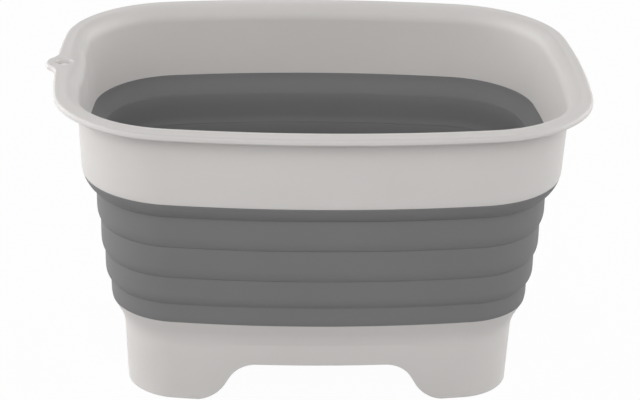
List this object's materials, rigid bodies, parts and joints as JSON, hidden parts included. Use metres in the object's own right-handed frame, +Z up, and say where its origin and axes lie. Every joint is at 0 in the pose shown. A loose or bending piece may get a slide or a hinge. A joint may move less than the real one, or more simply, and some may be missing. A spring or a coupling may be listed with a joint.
{
  "type": "washing up bowl",
  "caption": "Rounded rectangular washing up bowl that folds flat: rigid flanged rim with a hang tab, stepped soft wall, footed base tray and a lift-out drain plug.",
  "frame": {"origin": "on the ground under the middle of the rim's outline", "axes": "+Z up out of the bowl's mouth, +X along the long side, away from the hang tab"},
  "size_m": [0.3893, 0.304, 0.225],
  "materials": {
    "rim_plastic": "satin moulded",
    "wall_rubber": "matte moulded",
    "base_plastic": "satin moulded",
    "plug_plastic": "satin moulded",
    "seal_rubber": "matte moulded"
  },
  "bodies": {
    "base": {"base_skirt": "base_plastic", "base_floor": "base_plastic", "lower_cuff": "wall_rubber"},
    "rim": {"rim_frame": "rim_plastic", "upper_cuff": "wall_rubber"},
    "band_1": {"wall_band_1": "wall_rubber"},
    "band_2": {"wall_band_2": "wall_rubber"},
    "band_3": {"wall_band_3": "wall_rubber"},
    "plug": {"drain_plug": "plug_plastic", "plug_seal": "seal_rubber"}
  },
  "joints": [
    {"name": "collapse", "type": "slide", "parent": "base", "child": "rim", "axis": [0, 0, -1], "range_m": [0, 0.096]},
    {"name": "fold_band_1", "type": "slide", "parent": "base", "child": "band_1", "axis": [0, 0, -1], "range_m": [0, 0.072]},
    {"name": "fold_band_2", "type": "slide", "parent": "base", "child": "band_2", "axis": [0, 0, -1], "range_m": [0, 0.048]},
    {"name": "fold_band_3", "type": "slide", "parent": "base", "child": "band_3", "axis": [0, 0, -1], "range_m": [0, 0.024]},
    {"name": "plug_lift", "type": "slide", "parent": "base", "child": "plug", "axis": [0, 0, 1], "range_m": [0, 0.215]}
  ],
  "couplings": [
    {"joint": "fold_band_1", "follows": "collapse", "ratio": 0.75},
    {"joint": "fold_band_2", "follows": "collapse", "ratio": 0.5},
    {"joint": "fold_band_3", "follows": "collapse", "ratio": 0.25}
  ]
}
